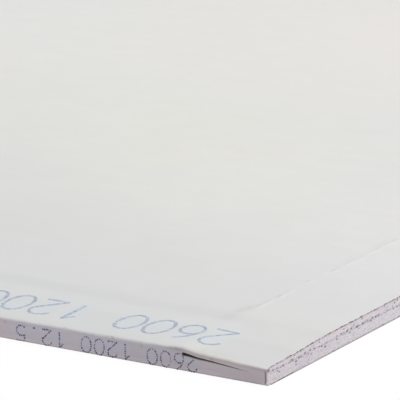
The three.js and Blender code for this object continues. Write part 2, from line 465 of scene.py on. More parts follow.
def paper_material():
    """Face paper: off-white, matt and finely fibrous, greyed along its edges by painted shade.

    The mesh carries the crease's stain and painted shade with painted highlights beside it,
    the crack's darkness, painted shade in the fold's crease by the corner, torn paper, the
    lip's stain, and the mist of ink round the numbers.
    """
    shade = Shade("face_paper", roughness=0.68, specular=0.25)
    ramp, band, paint, tint = shade.ramp, shade.band, shade.paint, shade.tint
    inset = shade.inset("Y", HALF_WIDTH)
    from_end = shade.inset("X", HALF_LENGTH)
    level = shade.axis("Z")

    # The paper itself: soft clouds, patches and fibres
    tone = ramp(shade.noise(160, detail=4), 0.34, 0.66)
    shade.color = shade.mix(tone, (0.748, 0.757, 0.742), (0.766, 0.765, 0.732))
    patch = ramp(shade.noise(12, detail=4, along=1.8), 0.3, 0.7)
    paint((0.735, 0.74, 0.725), patch, 0.35)
    fibre = ramp(shade.noise(0.7, detail=2, along=4), 0.35, 0.65)
    paint((0.7, 0.705, 0.7), fibre, 0.22)

    # Broad tones: warm far in, greyer towards the edges as painted shade, cool and then creamy
    # between
    paint((0.795, 0.775, 0.748), ramp(inset, 360, 620), ramp(from_end, 200, 450, 1, 0))
    spread = ramp(from_end, 20, 450, 1.08, 0.52)
    uneven = shade.math("MULTIPLY_ADD", shade.noise(70, detail=2), 60, -30)
    reach = shade.math("MULTIPLY_ADD", inset, spread, uneven)
    broad_edge_shade = ramp(reach, 20, 275, 0.965, 0)
    paint((0.656, 0.665, 0.67), broad_edge_shade, ramp(from_end, 0, 120, 0.78, 1))
    tint((1, 1, 1.032), ramp(inset, 50, 160), ramp(from_end, 50, 120, 1, 0))
    tint((0.998, 0.998, 0.982), band(inset, 100, 170, 360, 460), ramp(from_end, 130, 240))

    # Painted shade beside the long edge, strongest near the cut end, and a lighter strip further in
    edge_band_shade = shade.math("MAXIMUM", ramp(from_end, 30, 40, 1, 0), ramp(from_end, 46, 52, 0, 0.4))
    less = ramp(from_end, 90, 120, 1, 0.45)
    tint((0.962, 0.962, 0.964), band(inset, 2, 6, 26, 34), edge_band_shade, less)
    tint((1.018, 1.018, 1.022), band(inset, 29, 37, 43, 50), ramp(from_end, 34, 44))

    # Painted shade in a patchy dip along the start of the long taper, and a painted highlight in a
    # light brow beyond it
    line = shade.math("ADD", inset, shade.math("MULTIPLY_ADD", shade.noise(30, detail=2), 6, -3))
    at_end = ramp(from_end, 3, 12, 0.95, 0.3)
    along = shade.math("MAXIMUM", at_end, ramp(from_end, 36, 48, 0, 0.55))
    patchy = ramp(shade.noise(40, detail=2, along=2), 0.38, 0.56, 0.5, 1.15)
    tint((0.966, 0.966, 0.966), band(line, 45, 52, 56, 62), along, patchy)
    tint((1.01, 1.01, 1.01), band(line, 58, 66, 80, 130))

    # The upright long edge: lighter at its foot as painted light against the floor's shade, and
    # duller at the cut end
    side = ramp(inset, 0.3, 1.4, 1, 0)
    paint((0.74, 0.73, 0.738), side, ramp(from_end, 50, 130))
    tint((0.955, 0.945, 0.885), shade.attribute("stain"))
    tint((0.94, 1.015, 1.09), shade.attribute("mist"))
    tint((1.035, 1, 0.997), side, ramp(from_end, 30, 90, 1, 0))
    lit_foot = ramp(level, 1.2, 3.8, 1, 0)
    tint((1.19, 1.2, 1.18), side, lit_foot, ramp(from_end, 0, 35, 0.5, 1))
    tint((0.945, 0.945, 0.945), side, ramp(from_end, 10, 30, 1, 0))

    # The fold over it: painted shade on its curve where it stands proud and far from the cut end, and
    # scuffed
    swell = shade.product(ramp(from_end, 45, 49), ramp(from_end, 58, 70, 1, 0.25))
    fold_shade = shade.math("MAXIMUM", swell, ramp(from_end, 88, 108))
    on_fold = band(inset, 0, 0.2, 0.25, 1.1)
    tint((0.82, 0.82, 0.825), on_fold, ramp(level, 8, 8.8), fold_shade)
    scuff = ramp(shade.noise(2.2, detail=2, along=1.7), 0.6, 0.72)
    at_fold = ramp(inset, 0.8, 2.4, 0.24, 0)
    paint((0.22, 0.21, 0.2), scuff, at_fold, ramp(level, 7.8, 8.8))

    # Torn paper and painted highlights beside the crease; then the crease's stain and
    # painted shade, the crack's darkness, and painted shade in the fold's crease
    raw_and_highlight = shade.attribute("raw_and_highlight")
    paint(shade.mix(ramp(raw_and_highlight, 0.25, 0.5), (0.87, 0.875, 0.86), (0.88, 0.83, 0.8)), raw_and_highlight)
    paint((0.16, 0.125, 0.11), shade.attribute("wear_and_shade"))

    shade.tree.links.new(ramp(patch, 0, 1, 0.62, 0.74), shade.shader.inputs["Roughness"])
    coarse = shade.noise(4, detail=3, along=2)
    relief = shade.math("MULTIPLY_ADD", coarse, 0.6, shade.product(fibre, 0.4))
    return shade.finish(relief, 0.35, 0.05)


def cut_paper_material():
    """Raw cut edge of the papers: brown-grey recycled fibre, worn pale in places on top."""
    shade = Shade("cut_paper", roughness=0.9, specular=0.1)
    ply = shade.ramp(shade.noise(1.3, detail=2, across=1.3), 0.42, 0.62)
    shade.color = shade.mix(ply, (0.09, 0.07, 0.062), (0.5, 0.44, 0.42))
    worn = shade.ramp(shade.noise(3.2, detail=2), 0.47, 0.6, 0, 0.72)
    shade.paint((0.66, 0.63, 0.615), shade.ramp(shade.axis("Z"), 8.3, 9), worn)
    return shade.finish(shade.noise(0.4), 0.6, 0.1)


def pocket_material():
    """Inside of the opened pleat: unprinted brown paper, darkened as painted shade of the pocket,
    most at its mouth.
    """
    shade = Shade("shaded_pocket_paper", roughness=0.95, specular=0.05)
    fibre = shade.ramp(shade.noise(1.2, along=3), 0.35, 0.7)
    shade.color = shade.mix(fibre, (0.2, 0.175, 0.155), (0.4, 0.35, 0.305))
    inward = shade.ramp(shade.axis("X"), PLEAT_START + 3, PLEAT_START + 11)
    shade.tint((1.5, 1.45, 1.42), inward)
    return shade.finish(fibre, 0.5, 0.1)


def gypsum_material():
    """Cut gypsum: pinkish grey and grainy, with fine pores of painted shade between the moulded ones.

    It is darker at the bottom, a little darker near the pleated corner and below the line of
    voids, and fairer above that line. The mesh carries painted shade in its pits and along
    the line of voids.
    """
    shade = Shade("gypsum", roughness=0.92, specular=0.1)
    ramp, paint, tint = shade.ramp, shade.paint, shade.tint
    level = shade.axis("Z")
    across = shade.math("ADD", shade.axis("Y"), HALF_WIDTH)
    black = (0, 0, 0)
    cloud = ramp(shade.noise(11), 0.35, 0.65)
    shade.color = shade.mix(cloud, (0.694, 0.674, 0.711), (0.716, 0.708, 0.722))
    paint((0.42, 0.38, 0.38), ramp(level, 0.6, 1.2, 0.3, 0))
    paint(black, ramp(across, 30, 70, 0.02, 0))
    below_voids = ramp(level, 5, 6.2, 1, 0)
    dimmer = ramp(across, 40, 50, 0.046, 0.028)
    paint(black, dimmer, ramp(across, 95, 112, 1, 0), below_voids)
    tint((0.994, 1.014, 1.002), below_voids, ramp(across, 50, 70))
    tint((1.035, 1.03, 1.025), ramp(level, 6.8, 8), ramp(across, 12, 30))
    grain = ramp(shade.noise(1.4, roughness=0.6), 0.38, 0.62)
    paint((0.6, 0.56, 0.6), grain, 0.14)
    # Fine pores: dark spots of painted shade, with no holes in the mesh
    pore = ramp(shade.noise(0.9, detail=1), 0.7, 0.76)
    paint((0.25, 0.21, 0.22), pore, 0.6)
    # Painted shade in the pits and along the line of voids, carried by the mesh
    paint((0.1, 0.08, 0.085), shade.attribute("pit"))
    return shade.finish(shade.math("SUBTRACT", grain, pore), 0.5, 0.15)


def back_material():
    """Back paper: grey-brown recycled board, flecked, with raw cut ends."""
    shade = Shade("back_paper", roughness=0.85, specular=0.15)
    cloud = shade.ramp(shade.noise(90, detail=4), 0.35, 0.65)
    shade.color = shade.mix(cloud, (0.42, 0.39, 0.375), (0.48, 0.455, 0.44))
    fibre = shade.ramp(shade.noise(0.9, detail=2, along=4), 0.35, 0.65)
    shade.paint((0.31, 0.285, 0.27), fibre, 0.35)
    fleck = shade.ramp(shade.noise(2.2, detail=1, along=2), 0.7, 0.74)
    shade.paint((0.16, 0.14, 0.13), fleck, 0.6)
    return shade.finish(fibre, 0.5, 0.06)


def ink_material(name, color, worn_color, size):
    """Ink that has worn thin in patches about size across."""
    shade = Shade(name, roughness=0.7, specular=0.2)
    patch = shade.ramp(shade.noise(size), 0.35, 0.68)
    shade.color = shade.mix(patch, color, worn_color)
    return shade.finish(shade.noise(0.7, detail=2), 0.3, 0.05)


# ---------- the wrapped face paper

# Where the end taper starts, the paper is raised in a broken line, stained and darkened by
# painted shade, with a painted highlight beside its thin marks. Its marks beside the pleated
# corner: distance of the middle from the long edge, half length, distance from the cut end,
# width across, strength
CREASE_MARKS = (
    (54, 7, 51.5, 3.6, 0.6), (65, 8, 51.8, 2.5, 0.9), (70, 9, 50.4, 2.9, 1),
    (76, 6, 48.6, 1, 1.3), (84, 7, 48.3, 0.9, 1.1), (95, 5, 47.9, 0.9, 1.5),
    (104, 5, 48.4, 0.8, 0.8), (125, 4, 48.5, 0.8, 1), (148, 5, 46.9, 0.9, 1.1),
    (161, 9, 47, 0.9, 0.85), (169, 6, 46.6, 1, 0.7), (176, 5, 46.4, 0.8, 0.8),
    (186, 7, 47.2, 0.8, 0.7), (192, 6, 46.8, 0.8, 1.2), (201, 7, 46.6, 0.8, 0.9),
    (210, 8, 45.9, 0.9, 1.1), (166, 22, 48.6, 2.6, 0.35), (204, 24, 48, 2.4, 0.3),
)
CREASE_BEYOND = 214  # from the long edge; past it, noise places the marks
FAR_CREASE = 0.6  # strength of those marks
CREASE_REACH = 8  # from the start of a taper, past which there is no mark
CREASE_WIGGLE = 0.5
WELT_HEIGHT = 0.13
# darkness of the crease marks: stain and painted shade
CREASE_STAIN_AND_SHADE = 0.12
# lightness of the painted highlight beside thin crease marks
CREASE_HIGHLIGHT = 0.2
HIGHLIGHT_PLACE = 1.9  # widths of a mark from it to its painted highlight, on the cut end's side
THIN_MARK = 1.2  # marks narrower than this get a painted highlight beside them
RIPPLE = 0.11
RIPPLE_SIZE = 17
RIPPLE_FROM = 3  # the long edges are flat below this level
FOLD_WAVE = 0.1  # of the fold along the long edge
FOLD_WAVE_LEVELS = (8, 10)  # where it begins and is full
FOLD_WAVE_INSETS = (2, 10)  # where it fades and has ended
CUT_JITTER = 0.12
TEAR_REACH = 1.2  # from the cut end: how far in the face paper is torn and burred
TEAR_DEPTH = 0.4
BURR_HEIGHT = 0.2
CRACK_INSET = 0.95  # from the cut end
CRACK_WIDTH = 0.36
CRACK_DEPTH = 0.3
# how dark the crack is made
CRACK_DARKNESS = 0.85
CRACK_FOOT = (0.9, 1.6)  # where the crack begins and is full
CRACK_TOP = (6.8, 7.7)  # where it fades and has ended
CHIP_WIDTH = 0.5  # of the bevel between the crack and the cut end
CHIP_DEPTH = 0.34
STAIN_LEVELS = (6, 8.5)  # where the lip's stain begins and is full
EDGE_MIST_REACH = 8
EDGE_MIST_LEVEL = 6.2
EDGE_MIST_HEIGHT = 5  # above and below that level
EDGE_MIST_LEAST = 0.2
EDGE_MIST_MORE = 0.65  # at that level
FACE_MIST_REACH = (11, 17)
FACE_MIST_SHARE = 0.58
SEAM_SHADE = 0.25  # painted shade in the crease at the fold, from the pocket to the corner
LIP_RAW = 0.8  # lightness of the lip's torn rim
FINE_FIELD_END = -HALF_WIDTH + 260  # where the field's mesh turns coarse


def rough(x, y, z, size, seed):
    """Smooth noise about -1 to 1, whose lumps are about size across."""
    return 1.6 * noise.noise([axis / size + seed for axis in (x, y, z)])


def smooth(value, low, high):
    share = min(max((value - low) / (high - low), 0), 1)
    return share * share * (3 - 2 * share)


def places(first, *legs):
    """Numbers from first on. Each leg says where it ends and about how far apart they are."""
    found = [first]
    for last, gap in legs:
        steps = max(1, round(abs(last - found[-1]) / gap))
        found += list(np.linspace(found[-1], last, steps + 1)[1:])
    return found


def wrap_stations():
    """Places along the sheet where the wrap gets a section, close together near the pleat."""
    near_end, before, past = HALF_LENGTH - 3, TAPER_LINE - 7, TAPER_LINE + 7
    far_part = (-near_end, 0.5), (-past, 9), (-before, 1), (HALF_LENGTH - FINE_REACH, 26)
    taper_start = (before, 2.5), (TAPER_LINE - 4, 1), (PLEAT_START, 0.5)
    pleat = (PLEAT_TORN, 0.2), (PLEAT_END, 1), (near_end, 1), (HALF_LENGTH, 0.25)
    return places(-HALF_LENGTH, *far_part, *taper_start, *pleat)


# The stretches of a section, and the steps that each gets in the wrap and in the core
STRETCHES = ("hem", "back_fold", "edge", "rim", "pocket", "pocket_back", "lip", "face_fold", "taper")
WRAP_NEAR = dict(zip(STRETCHES, (1, 5, 7, 4, 2, 3, 2, 10, 18)))
WRAP_FAR = dict(zip(STRETCHES, (1, 4, 2, 1, 1, 1, 1, 7, 12)))
CORE_STEPS = dict(zip(STRETCHES, (1, 3, 1, 2, 1, 1, 1, 5, 8)))


def crease(x, y):
    """Share of the crease's stain and painted shade, and of its painted highlight, at a point of the
    face.
    """
    inset = HALF_WIDTH + math.copysign(y, x * y)
    nearest = HALF_WIDTH - abs(y)
    from_end = HALF_LENGTH - abs(x) + CREASE_WIGGLE * rough(0, y, 0, size=9, seed=31)
    past_line = from_end - END_TAPER_WIDTH
    if abs(past_line) > CREASE_REACH or nearest < LONG_TAPER_WIDTH - CREASE_REACH:
        return 0, 0
    stain = rim = 0
    for middle, half_length, line, width, strength in CREASE_MARKS:
        along = strength * hump(inset - middle, half_length)
        off = (from_end - line) / width
        stain = max(stain, along * math.exp(-(off**2)))
        if width < THIN_MARK:
            rim = max(rim, along * math.exp(-((off + HIGHLIGHT_PLACE) ** 2)))
    if inset > CREASE_BEYOND:
        along = FAR_CREASE * smooth(nearest, LONG_TAPER_WIDTH - 6, LONG_TAPER_WIDTH + 4)
        along *= smooth(rough(0, y, 0, size=20, seed=3), 0, 0.5)
        stain = along * math.exp(-(past_line**2))
    return stain, rim


def lip_stain(x, y, z):
    """Share of the warm stain on the lip and just above it."""
    if y > 0 or z < STAIN_LEVELS[0]:
        return 0
    along = smooth(x, PLEAT_START, PLEAT_START + 7)
    along *= 1 - smooth(x, PLEAT_START + 14, PLEAT_END + 1)
    along *= 1 + 0.5 * rough(x, 0, 0, size=5, seed=37)
    return along * (1 - smooth(y + HALF_WIDTH, 1, 7)) * smooth(z, *STAIN_LEVELS)


@functools.cache
def number_mist(x, row, reach):
    """1 at the middle of each number of a row along X, falling to 0 at reach from it."""
    text, starts, pitch, (width, _) = row
    middles = [n * pitch + width / 2 for n, letter in enumerate(text) if letter != " "]
    return hump(min(abs(start - middle - x) for start in starts for middle in middles), reach)


def ink_mist(x, y, z):
    """Share of the faint ink mist round the numbers on the long edge and on the face."""
    inset = y + HALF_WIDTH
    if inset < 1:
        share = EDGE_MIST_LEAST + EDGE_MIST_MORE * hump(z - EDGE_MIST_LEVEL, EDGE_MIST_HEIGHT)
        return share * number_mist(x, EDGE_PRINT, EDGE_MIST_REACH)
    along, across = FACE_MIST_REACH
    off_middle = inset - FACE_PRINT_INSET - FACE_PRINT[-1][1] / 2
    return FACE_MIST_SHARE * hump(off_middle, across) * number_mist(x, FACE_PRINT, along)


def torn_back(x, y):
    """How far the face paper is torn back, and raised into a burr, beside a cut end."""
    share = 1 - (HALF_LENGTH - abs(x)) / TEAR_REACH
    if share <= 0:
        return 0, 0
    share *= smooth(HALF_WIDTH - abs(y), 1, 5)
    tear = TEAR_DEPTH * max(0, 0.2 + rough(0, y, 0, size=3.6, seed=41))
    return share * tear, share * BURR_HEIGHT * rough(0, y, 0, size=2.6, seed=43)


def fold_wave(x, y):
    """Rise of the fold along a long edge, fading towards the field and the cut ends."""
    fading = 1 - smooth(HALF_WIDTH - abs(y), *FOLD_WAVE_INSETS)
    if fading == 0:
        return 0
    fading *= smooth(HALF_LENGTH - abs(x), 0, 4)
    own_place = math.copysign(1000, y)  # in the noise, so that each edge waves differently
    return FOLD_WAVE * fading * rough(x, own_place, 0, size=6, seed=17)


def corner_damage(x, y, z):
    """Crack and chip of the wrap where the blade left the pleated corner, each 0 to 1."""
    if y > -HALF_WIDTH + FACE_FOLD or x < HALF_LENGTH - 3:
        return 0, 0
    tall = smooth(z, *CRACK_FOOT) * (1 - smooth(z, *CRACK_TOP))
    inset = HALF_LENGTH - x + 0.25 * rough(0, 0, z, size=2.2, seed=5)
    crack = math.exp(-(((inset - CRACK_INSET) / CRACK_WIDTH) ** 2))
    chip = 1 - min(max(inset / CHIP_WIDTH, 0), 1)
    return tall * crack, tall * chip


def ripple(x, y, z):
    """How far the paper stands out in soft waves."""
    return RIPPLE * rough(x, y, z, size=RIPPLE_SIZE, seed=7)


def bare_point(x, y, z):
    """A point of the bare side, rippled and damaged, with its shares of crease, painted highlight,
    crack, chip.
    """
    top = z > THICKNESS / 2 and abs(y) < HALF_WIDTH - 0.3 * FACE_FOLD
    line, rim = crease(x, y) if top else (0, 0)
    crack, chip = corner_damage(x, y, z)
    outward = math.copysign(1, y)
    spot = [x, y, z]
    if top:
        tear, burr = torn_back(x, y)
        spot[0] -= math.copysign(tear, x)
        spot[2] += ripple(x, y, z) + WELT_HEIGHT * line + burr
    elif z > RIPPLE_FROM:
        spot[1] += outward * ripple(x, y, z)
    if z > FOLD_WAVE_LEVELS[0]:
        spot[2] += fold_wave(x, y) * smooth(z, *FOLD_WAVE_LEVELS)
    spot[1] -= outward * (CRACK_DEPTH * crack + CHIP_DEPTH * chip)
    if abs(x) == HALF_LENGTH:
        spot[0] -= math.copysign(CUT_JITTER * (0.5 + 0.5 * rough(0, y, z, size=2.2, seed=9)), x)
    return spot, line, rim, crack, chip


def wrap_line(x, near_steps, far_steps, middle=np.empty(0)):
    """The section at x over the whole width: rows of bare place and height, bonded ones."""
    near, far = half_wrap(x, -1, near_steps), half_wrap(x, 1, far_steps)[::-1]
    near[:, ::2] -= HALF_WIDTH
    far[:, ::2] = HALF_WIDTH - far[:, ::2]
    level = face_height(x, middle)
    return np.concatenate([near, np.column_stack([middle, level, middle, level - PAPER]), far])


def wrap_faces(stations, count, pocket):
    """Faces round the sections, and their materials: 0 paper, 1 cut paper, 2 pocket.

    A section is count bare points and then, backwards, the bonded points behind them.
    """
    size = 2 * count
    end = size * len(stations)
    faces, picks = tube_faces(end, len(stations), size, capped=False), []
    for x, beyond in zip(stations, stations[1:]):
        inside = pocket if pleat_opening(x) + pleat_opening(beyond) > 0 else ()
        for i in range(size):
            picks.append(1 if i % count == count - 1 else 2 * (i in inside))
    for first, last in ((0, size - 1), (end - size, end - 1)):
        for i in range(count - 1):
            faces.append((first + i, first + i + 1, last - i - 1, last - i))
            picks.append(1)
    return faces, picks


def make_face_paper():
    """One sheet of paper over the face, round both long edges and 25 mm under the back."""
    stations = wrap_stations()
    field_end = HALF_WIDTH - LONG_TAPER_WIDTH
    middle = np.array(places(-field_end, (FINE_FIELD_END, 2.28), (field_end, 35.3))[1:-1])
    pocket_first = sum(WRAP_NEAR[name] for name in STRETCHES[: STRETCHES.index("pocket")])
    pocket_last = pocket_first + 2 * WRAP_NEAR["pocket"] + WRAP_NEAR["pocket_back"]
    fold_first = pocket_last + WRAP_NEAR["lip"]
    points, marks = [], []
    for x in stations:
        rows = wrap_line(x, WRAP_NEAR, WRAP_FAR, middle)
        seam = SEAM_SHADE * smooth(x, PLEAT_END - 4, PLEAT_END)
        seam *= 0.7 + 0.6 * rough(x, 0, 0, size=4, seed=13)
        lip = LIP_RAW * pleat_opening(x) ** 0.5
        for i, (y, z) in enumerate(rows[:, :2]):
            spot, line, rim, crack, chip = bare_point(x, y, z)
            points.append(spot)
            wear_and_shade = CREASE_STAIN_AND_SHADE * line + CRACK_DARKNESS * crack + (seam if i == fold_first else 0)
            raw_and_highlight = max(chip**0.5, CREASE_HIGHLIGHT * rim, lip if i == pocket_last else 0)
            marks.append((min(wear_and_shade, 1), raw_and_highlight, lip_stain(x, y, z), ink_mist(x, y, z)))
        points += [(x, y, z) for y, z in rows[::-1, 2:]]
        marks += [(0, 0, 0, 0)] * len(rows)
    faces, picks = wrap_faces(stations, len(rows), range(pocket_first, pocket_last))
    materials = [paper_material(), CUT_PAPER, pocket_material()]
    values = dict(zip(("wear_and_shade", "raw_and_highlight", "stain", "mist"), zip(*marks)))
    piece = make_piece("wrapped_face_paper", points, faces, materials, "ivory_paper", picks, **values)
    piece.data.shade_smooth()
    piece.data.set_sharp_from_angle(angle=math.radians(35))
    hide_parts("face_paper")


# ---------- the gypsum core

CUT_RECESS = 0.22
CUT_GRAIN = 0.12
VOID_LEVEL = 6
VOID_HEIGHT = 0.37
VOID_DEPTH = 0.7
PORE_COUNT = 420
PORE_SIZES = (0.16, 0.54)  # to the power of PORE_CURVE, these are the radii
PORE_CURVE = 1.3
PORE_LEVELS = (1.4, 11.2)
PORES_AT_VOID = 0.5  # share of the pores that lie about the void line
VOID_SPACING = 4.2  # of the large voids, on the average
VOID_HALF_WIDTHS = (0.3, 0.85)
VOID_HALF_HEIGHTS = (0.2, 0.38)
PIT_SPREAD = 1.6  # a pit ends at this many half widths from its middle

# The large voids beside the pleated corner: distance of the middle from the long edge,
# level, half width, half height
NEAR_VOIDS = (
    (1.7, 7.3, 1, 0.55), (6.2, 6.5, 1, 0.22), (10, 6.5, 0.8, 0.26), (11.9, 4.2, 0.6, 0.26),
    (15.7, 6.3, 0.8, 0.33), (23.1, 6.8, 0.9, 0.28), (24.7, 6.9, 0.5, 0.28), (26.7, 8.4, 0.5, 0.37),
    (27.9, 5, 0.8, 0.3), (30.7, 6, 0.6, 0.28), (32.4, 6, 0.45, 0.36), (36.5, 6.7, 0.7, 0.38),
    (40, 2.4, 0.4, 0.22), (41.5, 6.6, 0.55, 0.24), (45.5, 6.6, 0.6, 0.24), (50.5, 6.2, 0.5, 0.33),
    (57, 6.4, 0.6, 0.32), (67.2, 7, 0.6, 0.22), (71.6, 6.9, 0.8, 0.33), (74, 6.9, 0.4, 0.3),
    (74, 8.7, 0.5, 0.22), (77.7, 6.8, 0.9, 0.44), (81.6, 6.9, 0.7, 0.37), (87.7, 6.3, 1.2, 0.46),
    (93.3, 6.3, 1, 0.38), (97.7, 6.9, 0.6, 0.3), (101.5, 5.6, 0.8, 0.26), (102.7, 6.9, 0.55, 0.3),
    (106.5, 6.3, 0.9, 0.46), (109, 6.7, 0.6, 0.26), (117.5, 6.5, 0.6, 0.26), (125, 8.6, 0.55, 0.3),
)
NEAR_VOIDS_END = 125
PORE_REACH = 2.3  # the widest pore ends within this of its middle
CAP_ROWS = 24
CAP_MARGIN = 1.6  # from a cut end to where its rough cap joins the skin


def core_limits(x, y):
    """Lowest and highest gypsum at y on a cut end, where the pleat is shut."""
    inset = HALF_WIDTH - abs(y)
    inner_back = BACK_FOLD - PAPER
    fold = face_fold(x, math.copysign(1, y))
    inner_fold = fold - PAPER
    low = PAPER if round(inset, 3) >= HEM_WIDTH else 2 * PAPER
    if inset < BACK_FOLD:
        low = PAPER + BACK_FOLD - math.sqrt(max(0, inner_back**2 - (BACK_FOLD - inset) ** 2))
    high = face_height(x, y) - PAPER
    if inset < fold:
        outer_inset = fold - (fold - inset) * fold / inner_fold
        level = face_height(x, math.copysign(HALF_WIDTH - outer_inset, y)) - fold
        high = level + math.sqrt(max(0, inner_fold**2 - (fold - inset) ** 2))
    return low, high


def make_pores(random, end):
    """Bubbles that the cut opened: place across, level, half width, half height, depth."""
    pores = []
    void_level = VOID_LEVEL + 0.4
    for _ in range(PORE_COUNT):
        radius = random.uniform(*PORE_SIZES) ** PORE_CURVE
        across = random.uniform(-HALF_WIDTH, HALF_WIDTH)
        level = random.uniform(*PORE_LEVELS)
        if random.random() < PORES_AT_VOID:
            level = random.normal(void_level, 1.2)
        pores.append((across, level, radius, radius, radius * random.uniform(0.8, 1.6)))
    for _ in range(round(2 * HALF_WIDTH / VOID_SPACING)):
        across = random.uniform(-HALF_WIDTH, HALF_WIDTH)
        level = random.normal(void_level, 0.4)
        wide = random.uniform(*VOID_HALF_WIDTHS)
        tall = random.uniform(*VOID_HALF_HEIGHTS)
        if end < 0 or across > -HALF_WIDTH + NEAR_VOIDS_END:
            pores.append((across, level, wide, tall, tall))
    if end > 0:
        for inset, level, wide, tall in NEAR_VOIDS:
            pores.append((inset - HALF_WIDTH, level, wide, tall, tall))
    return sorted(pores)


def cut_depth(y, z, near, seed):
    """How far a point of a cut end lies in from the cut, and how much painted shade it gets in a pit
    and along the line of voids.
    """
    grain = rough(0, y, z, size=1.1, seed=seed) + 0.5 * rough(0, y, z, size=3.4, seed=seed + 2)
    depth = CUT_RECESS + CUT_GRAIN * grain
    level = VOID_LEVEL + 0.3 * rough(0, y, 0, size=9, seed=seed + 4)
    height = VOID_HEIGHT * (1 + 0.8 * max(0, rough(0, y, 0, size=12, seed=seed + 5)))
    kept = smooth(rough(0, y, 0, size=16, seed=seed + 8), -0.9, -0.3)
    holes = smooth(rough(0, y, z, size=0.9, seed=seed + 6), -0.1, 0.45)
    dark = kept * (0.12 + 0.36 * holes) * math.exp(-(((z - level) / height) ** 2))
    depth += VOID_DEPTH * dark
    for across, middle, wide, tall, deep in near:
        off = math.hypot((y - across) / wide, (z - middle) / tall) / PIT_SPREAD
        if off < 1:
            depth += deep * (1 - off**2)
            dark = max(dark, 1 - off**2)
    return max(depth, 0), min(dark, 1)


def cap_columns(end):
    """Columns of a cut end: close together near the pleated corner, and round the folds."""
    folded = 1 - np.cos(np.linspace(0, math.pi / 2, 8))
    left = list(PAPER - HALF_WIDTH + (FACE_FOLD - PAPER) * folded)
    fine = (FINE_REACH - HALF_WIDTH, 0.5 if end > 0 else 1.5)
    columns = left[:-1] + places(left[-1], fine, (-left[-1], 1.6))
    columns += [-place for place in left[-2::-1]]
    for hem_end in (HEM_WIDTH - HALF_WIDTH, HALF_WIDTH - HEM_WIDTH):
        nearest = min(range(len(columns)), key=lambda i: abs(columns[i] - hem_end))
        columns[nearest] = hem_end
    return columns


def core_ring(x):
    """Closed outline of the core at x, clockwise seen from +X, from the near hem's end."""
    rows = wrap_line(x, CORE_STEPS, CORE_STEPS)[:, 2:]
    return [*rows, (rows[-1][0], PAPER), (rows[0][0], PAPER)]


def outline_place(y, z):
    """Where a point is on the outline of a cut end: a number that grows anticlockwise."""
    side = HALF_WIDTH - PAPER
    if abs(y) > side - 1e-4:
        return 1 + z / THICKNESS if y > 0 else 4 - z / THICKNESS
    across = (y + side) / (2 * side)
    return across if z < THICKNESS / 2 else 3 - across


def stitch(points, *rings):
    """Triangles between two closed rings of point numbers, walked together anticlockwise."""
    walks, steps = [], []
    for n, ring in enumerate(rings):
        spots = [outline_place(*points[i][1:]) for i in ring]
        start = spots.index(min(spots))
        walks.append([*ring[start:], *ring[: start + 1]])
        rising = np.maximum.accumulate(spots[start:] + spots[:start])
        steps += [(spot, n) for spot in (*rising[1:], 5)]
    faces, at = [], [0, 0]
    for _, n in sorted(steps):
        inner, outer = walks[0][at[0]], walks[1][at[1]]
        at[n] += 1
        faces.append((inner, walks[n][at[n]], outer))
    return faces


def make_core():
    """Gypsum between the papers, with rough, porous cut ends."""
    random = np.random.default_rng(11)
    skin_end = HALF_LENGTH - CAP_MARGIN
    stations = [-skin_end, -TAPER_LINE, *places(TAPER_LINE - SWELL_BEFORE, (TAPER_LINE, 12))]
    stations += [PLEAT_START, *places(PLEAT_TORN, (PLEAT_END, 2)), skin_end]
    points = [(x, y, z) for x in stations for y, z in core_ring(x)]
    pits = [0] * len(points)
    size = len(points) // len(stations)
    faces = tube_faces(len(points), len(stations), size, capped=False)
    for end, ring in ((-1, range(size)), (1, range(len(points) - size, len(points)))):
        pores = make_pores(random, end)
        starts = [pore[0] for pore in pores]
        grid = []
        for y in cap_columns(end):
            low, high = core_limits(end * HALF_LENGTH, y)
            first, last = np.searchsorted(starts, (y - PORE_REACH, y + PORE_REACH))
            grid.append([*range(len(points), len(points) + CAP_ROWS + 1)])
            for z in np.linspace(low, high, CAP_ROWS + 1):
                depth, dark = cut_depth(y, z, pores[first:last], seed=20 + 5 * end)
                points.append((end * (HALF_LENGTH - depth), y, z))
                pits.append(dark)
        for a, b in zip(grid, grid[1:]):
            for k in range(CAP_ROWS):
                quad = (a[k], b[k], b[k + 1], a[k + 1])
                faces.append(quad if end > 0 else quad[::-1])
        rim = [column[0] for column in grid] + grid[-1][1:-1]
        rim += [column[-1] for column in grid[::-1]] + grid[0][-2:0:-1]
        faces += stitch(points, ring[::-1], rim)
    piece = make_piece("porous_gypsum_core", points, faces, [gypsum_material()], "gypsum", pit=pits)
    piece.data.shade_smooth()
    piece.data.set_sharp_from_angle(angle=math.radians(50))
    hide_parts("gypsum_core")


# ---------- fibres at the cut edges

FIBRE_COUNT = 900
FIBRES_ON_TOP = 0.7  # share of them in the face paper; the others are in the back paper
FIBRE_LENGTHS = (0.25, 1.1)
FIBRE_RADII = (0.03, 0.06)
FIBRE_ROOT = 0.15  # how deep in the cut a fibre starts
BACK_FIBRE_LEVEL = 0.2
LOWEST_FIBRE = 0.05


